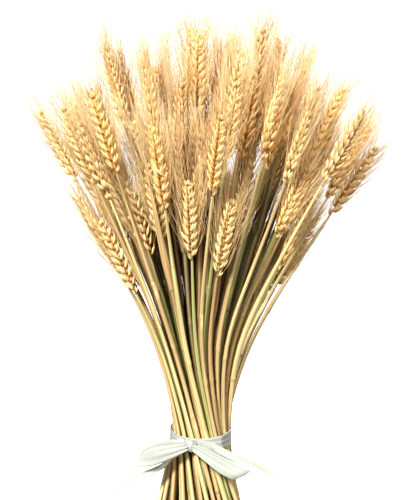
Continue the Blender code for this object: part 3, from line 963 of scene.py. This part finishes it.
def fibres_group():
    """Fine streaks along a straw, husk or awn, from its lengthwise coordinates."""
    group = bpy.data.node_groups.new("Lengthwise_fibres", "ShaderNodeTree")
    group.interface.new_socket("Place", in_out="INPUT", socket_type="NodeSocketVector")
    for name, way in (("Across", "INPUT"), ("Along", "INPUT"), ("Streaks", "OUTPUT")):
        group.interface.new_socket(name, in_out=way, socket_type="NodeSocketFloat")
    place, wide, long = new_node(group, "NodeGroupInput").outputs[:3]
    scale = new_node(group, "ShaderNodeCombineXYZ", {"X": wide, "Y": wide, "Z": long})
    inputs = {0: place, 1: scale.outputs[0]}
    stretched = new_node(group, "ShaderNodeVectorMath", inputs, operation="MULTIPLY")
    inputs = {"Vector": stretched.outputs[0], "Scale": 1.0, "Detail": 3.0, "Roughness": 0.6}
    noise = new_node(group, "ShaderNodeTexNoise", inputs)
    inputs = {"Value": noise.outputs["Fac"], "From Min": 0.3, "From Max": 0.7}
    stronger = new_node(group, "ShaderNodeMapRange", inputs)
    new_node(group, "NodeGroupOutput", {"Streaks": stronger.outputs[0]})
    return group


def mixed(tree, factor, first, second):
    """The first colour where the factor is 0, and the second where it is 1."""
    inputs = {0: factor, 6: first, 7: second}
    return new_node(tree, "ShaderNodeMix", inputs, data_type="RGBA").outputs[2]


class Finish:
    """A material in the making: its colour so far, and what the growth says of each point."""

    def __init__(self, name, fibres, across, along, ground):
        self.material, self.tree, self.shader = new_material(name)
        tint = new_node(self.tree, "ShaderNodeAttribute", attribute_name="tint")
        split = new_node(self.tree, "ShaderNodeSeparateXYZ", {0: tint.outputs["Vector"]})
        self.tone, self.mark, self.share = split.outputs
        place = new_node(self.tree, "ShaderNodeAttribute", attribute_name="lengthwise")
        inputs = {"Place": place.outputs["Vector"], "Across": across, "Along": along}
        streaks = new_node(self.tree, "ShaderNodeGroup", inputs, node_tree=fibres)
        self.streaks = streaks.outputs["Streaks"]
        self.colour = ground

    def paint(self, colour, value, low, high, least=0.0, most=1.0):
        """Lays a colour over the last one: least of it where the value is low, and most where it is high."""
        inputs = {"Value": value, "From Min": low, "From Max": high, "To Min": least, "To Max": most}
        factor = new_node(self.tree, "ShaderNodeMapRange", inputs, interpolation_type="SMOOTHSTEP")
        self.colour = mixed(self.tree, factor.outputs[0], self.colour, colour)

    def bump(self, strength, distance):
        """Raises the fibres."""
        inputs = {"Height": self.streaks, "Strength": strength, "Distance": distance}
        bump = new_node(self.tree, "ShaderNodeBump", inputs)
        fill(self.tree, self.shader, {"Normal": bump.outputs[0]})

    def done(self, roughness):
        """The material, with its colour and gloss."""
        fill(self.tree, self.shader, {"Base Color": self.colour, "Roughness": roughness})
        return self.material


def straw_finish(fibres):
    """Dry straw: tan to pale yellow, some stalks still olive green and some aged to brown, with fine fibres
    and browned joints, and painted shade: darker the deeper it stands in the bunch, darkest at the bottom
    of its hollow."""
    tan, pale, olive = rgb(214, 184, 130), rgb(240, 220, 164), rgb(180, 189, 122)
    aged, groove, brown, deep = rgb(166, 130, 84), rgb(146, 112, 66), rgb(118, 78, 42), rgb(64, 40, 18)
    finish = Finish("Straw", fibres, 640, 9, tan)
    many = new_node(finish.tree, "ShaderNodeMath", {0: finish.tone, 1: 13.7}, operation="MULTIPLY")
    age = new_node(finish.tree, "ShaderNodeMath", {0: many.outputs[0]}, operation="FRACT")
    finish.paint(pale, finish.tone, 0.1, 0.55)
    finish.paint(olive, finish.tone, 0.60, 0.74)
    finish.paint(aged, age.outputs[0], 0.35, 1, 0, 0.5)
    finish.paint(groove, finish.streaks, 0, 0.8, 0.8, 0)
    # Browned joints and frayed sheath edges; at the bottom of the straw's hollow this brown is painted shade
    finish.paint(brown, finish.mark, 0.2, 1, 0, 0.85)
    # Painted shade: the straws and leaves grow darker the deeper they stand in the bunch
    finish.paint(deep, finish.share, 0, 1, 0, 0.85)
    finish.bump(0.35, 0.0002)
    return finish.done(0.42)


def chaff_finish(fibres):
    """Ripe husks: golden, browner at their foot and cream towards the tip, each a little different. The brown
    foot is partly their own colour and partly painted shade, and it reaches further up their inner side as
    painted shade in the creases between husks.
    """
    beige, gold, cream = rgb(250, 232, 168), rgb(255, 218, 140), rgb(255, 250, 216)
    amber, brown = rgb(222, 150, 74), rgb(122, 74, 34)
    finish = Finish("Chaff", fibres, 1300, 110, beige)
    finish.paint(gold, finish.tone, 0.1, 0.8)
    finish.paint(amber, finish.mark, 0.5, 1, 0, 0.6)
    # Cream towards the tip, less of it on the inner side, where the lowered share is painted shade
    finish.paint(cream, finish.share, 0.4, 0.9, 0, 0.8)
    # Partly the husks' own brown foot and partly painted shade in the creases between husks and along the
    # ear's middle
    finish.paint(brown, finish.share, 0.02, 0.38, 0.85, 0)
    finish.paint(amber, finish.streaks, 0, 1, 0.4, 0)
    finish.bump(0.4, 0.0003)
    return finish.done(0.48)


def awn_finish(fibres):
    """Awns: straw yellow, paler towards the tip, some of them brown, and redder on the higher ears."""
    yellow, pale = rgb(252, 220, 148), rgb(255, 236, 190)
    brown, reddish = rgb(172, 104, 46), rgb(218, 148, 82)
    finish = Finish("Awns", fibres, 900, 90, yellow)
    finish.paint(pale, finish.share, 0.1, 1)
    finish.paint(brown, finish.mark, 0.45, 1, 0, 0.85)
    finish.paint(reddish, finish.tone, 0.6, 1, 0, 0.45)
    return finish.done(0.5)


def satin_finish():
    """Off-white satin: soft broad gloss, a faintly clouded colour, and a little light through it."""
    material, tree, shader = new_material("Satin")
    place = new_node(tree, "ShaderNodeTexCoord")
    inputs = {"Vector": place.outputs["Object"], "Scale": 60.0, "Detail": 2.0}
    clouds = new_node(tree, "ShaderNodeTexNoise", inputs)
    bright, dim = rgb(184, 187, 177), rgb(174, 178, 165)
    inputs = {
        "Base Color": mixed(tree, clouds.outputs["Fac"], bright, dim),
        "Roughness": 0.3,
        "Sheen Weight": 0.3,
        "Subsurface Weight": 0.5,
        "Subsurface Radius": (1, 1, 0.9),
        "Subsurface Scale": 0.002,
    }
    fill(tree, shader, inputs)
    return material


def white_paper():
    """Paper that looks evenly white and sends no light back on to the bunch."""
    material, tree, shader = new_material("White_paper")
    inputs = {
        "Base Color": (0.9, 0.9, 0.9, 1),
        "Roughness": 0.8,
        "Emission Color": (1, 1, 1, 1),
        "Emission Strength": PAPER_GLOW,
    }
    fill(tree, shader, inputs)
    material.cycles.emission_sampling = "NONE"
    return material


# Floor, light and camera


def stage():
    """A round white floor that sweeps up into a white wall on every side."""
    profile = [(FLOOR_MIDDLE, 0.0), (FLOOR_RADIUS, 0.0)]
    for step in range(1, SWEEP_STEPS + 1):
        turn = math.pi / 2 * step / SWEEP_STEPS
        profile.append((FLOOR_RADIUS + SWEEP_RADIUS * math.sin(turn), SWEEP_RADIUS * (1 - math.cos(turn))))
    profile.append((FLOOR_RADIUS + SWEEP_RADIUS, WALL_HEIGHT))
    points = []
    for radius, height in profile:
        for side in range(WALL_SIDES):
            angle = 2 * math.pi * side / WALL_SIDES
            points.append((radius * math.cos(angle), radius * math.sin(angle), height))
    faces = tube_faces(WALL_SIDES, len(profile), start_cap=True)
    made = new_object("Sweep", new_mesh("Sweep", points, faces, [white_paper()]))
    made.visible_diffuse = False
    made.visible_glossy = False
    made.visible_shadow = False


def area_light(name, place, target, size, power):
    """A round soft light that faces its target."""
    light = bpy.data.lights.new(name, "AREA")
    light.shape = "DISK"
    light.size = size
    light.energy = power
    made = new_object(name, light)
    made.location = place
    made.rotation_euler = (Vector(target) - Vector(place)).to_track_quat("-Z", "Y").to_euler()


def lighting():
    """The lights, an even white sky, and how the picture is toned."""
    for light in LIGHTS:
        area_light(*light)
    world = bpy.data.worlds.new("Studio")
    world.use_nodes = True
    background = world.node_tree.nodes["Background"]
    background.inputs["Color"].default_value = (1, 1, 1, 1)
    background.inputs["Strength"].default_value = SKY
    bpy.context.scene.world = world
    bpy.context.scene.view_settings.view_transform = "Standard"
    bpy.context.scene.view_settings.look = "Medium High Contrast"


def photo_camera():
    """The camera straight in front, framed as the photograph is."""
    camera = bpy.data.cameras.new("Photo_view")
    camera.sensor_width = SENSOR
    camera.lens = SENSOR * CAMERA_DISTANCE / PHOTO_HEIGHT
    camera.clip_end = 20
    made = new_object("Photo_view", camera)
    made.location = CAMERA_TARGET - MIDDLE + Vector((0, -CAMERA_DISTANCE, 0))
    made.rotation_euler = (math.pi / 2, CAMERA_ROLL, 0)
    bpy.context.scene.camera = made


def dress_stalks(stalks, pairs, rng, fibres):
    """One piece for each pair of stalks, in place of its plain solid."""
    spins = [rng.uniform(0, 2 * math.pi) for stalk in stalks]
    finishes = [straw_finish(fibres), chaff_finish(fibres), awn_finish(fibres)]
    husk = husk_form()
    for number, (a, b) in enumerate(pairs, start=1):
        growth = Growth()
        for one, other in ((a, b), (b, a)):
            towards = stalks[other].at(0) - stalks[one].at(0)
            facing = ear_facing(stalks[one], towards, spins[one])
            grow_straw(growth, stalks[one], rng.random(), rng)
            height = (stalks[one].tip - LOW_TIP) / (HIGH_TIP - LOW_TIP)
            tone = TIP_REDDENS * height + (1 - TIP_REDDENS) * rng.random()
            grow_ear(growth, stalks[one], facing, tone, husk, rng)
            if rng.random() < SCRAPS:
                grow_scrap(growth, stalks[one], rng)
        piece = growth.piece(f"Wheat_pair_{number:02d}", finishes)
        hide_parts(f"wheat_stalks_{number:02d}")
        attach(piece, "root")


def dress_ribbon(stalks):
    """The satin bow, drawn tight over the finer straws."""
    bow = ribbon(satin_finish(), Girth(stalks))
    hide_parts("satin_ribbon")
    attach(bow, "root")


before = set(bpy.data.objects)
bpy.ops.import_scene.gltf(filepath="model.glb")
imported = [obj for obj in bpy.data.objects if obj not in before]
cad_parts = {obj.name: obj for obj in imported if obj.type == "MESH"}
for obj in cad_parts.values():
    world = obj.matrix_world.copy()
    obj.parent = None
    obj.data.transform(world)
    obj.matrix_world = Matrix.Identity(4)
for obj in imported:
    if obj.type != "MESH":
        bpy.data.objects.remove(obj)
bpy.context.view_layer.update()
rng = random.Random(SEED)
points = seats()
pairs = pair_up(points)
spans = ear_spans(points, rng)
rises, places = settle(points, spans, pairs, rng)
stalks = [Stalk(rises, places[i], spans[i]) for i in range(STALKS)]
dress_stalks(stalks, pairs, rng, fibres_group())
dress_ribbon(stalks)
stage()
lighting()
photo_camera()
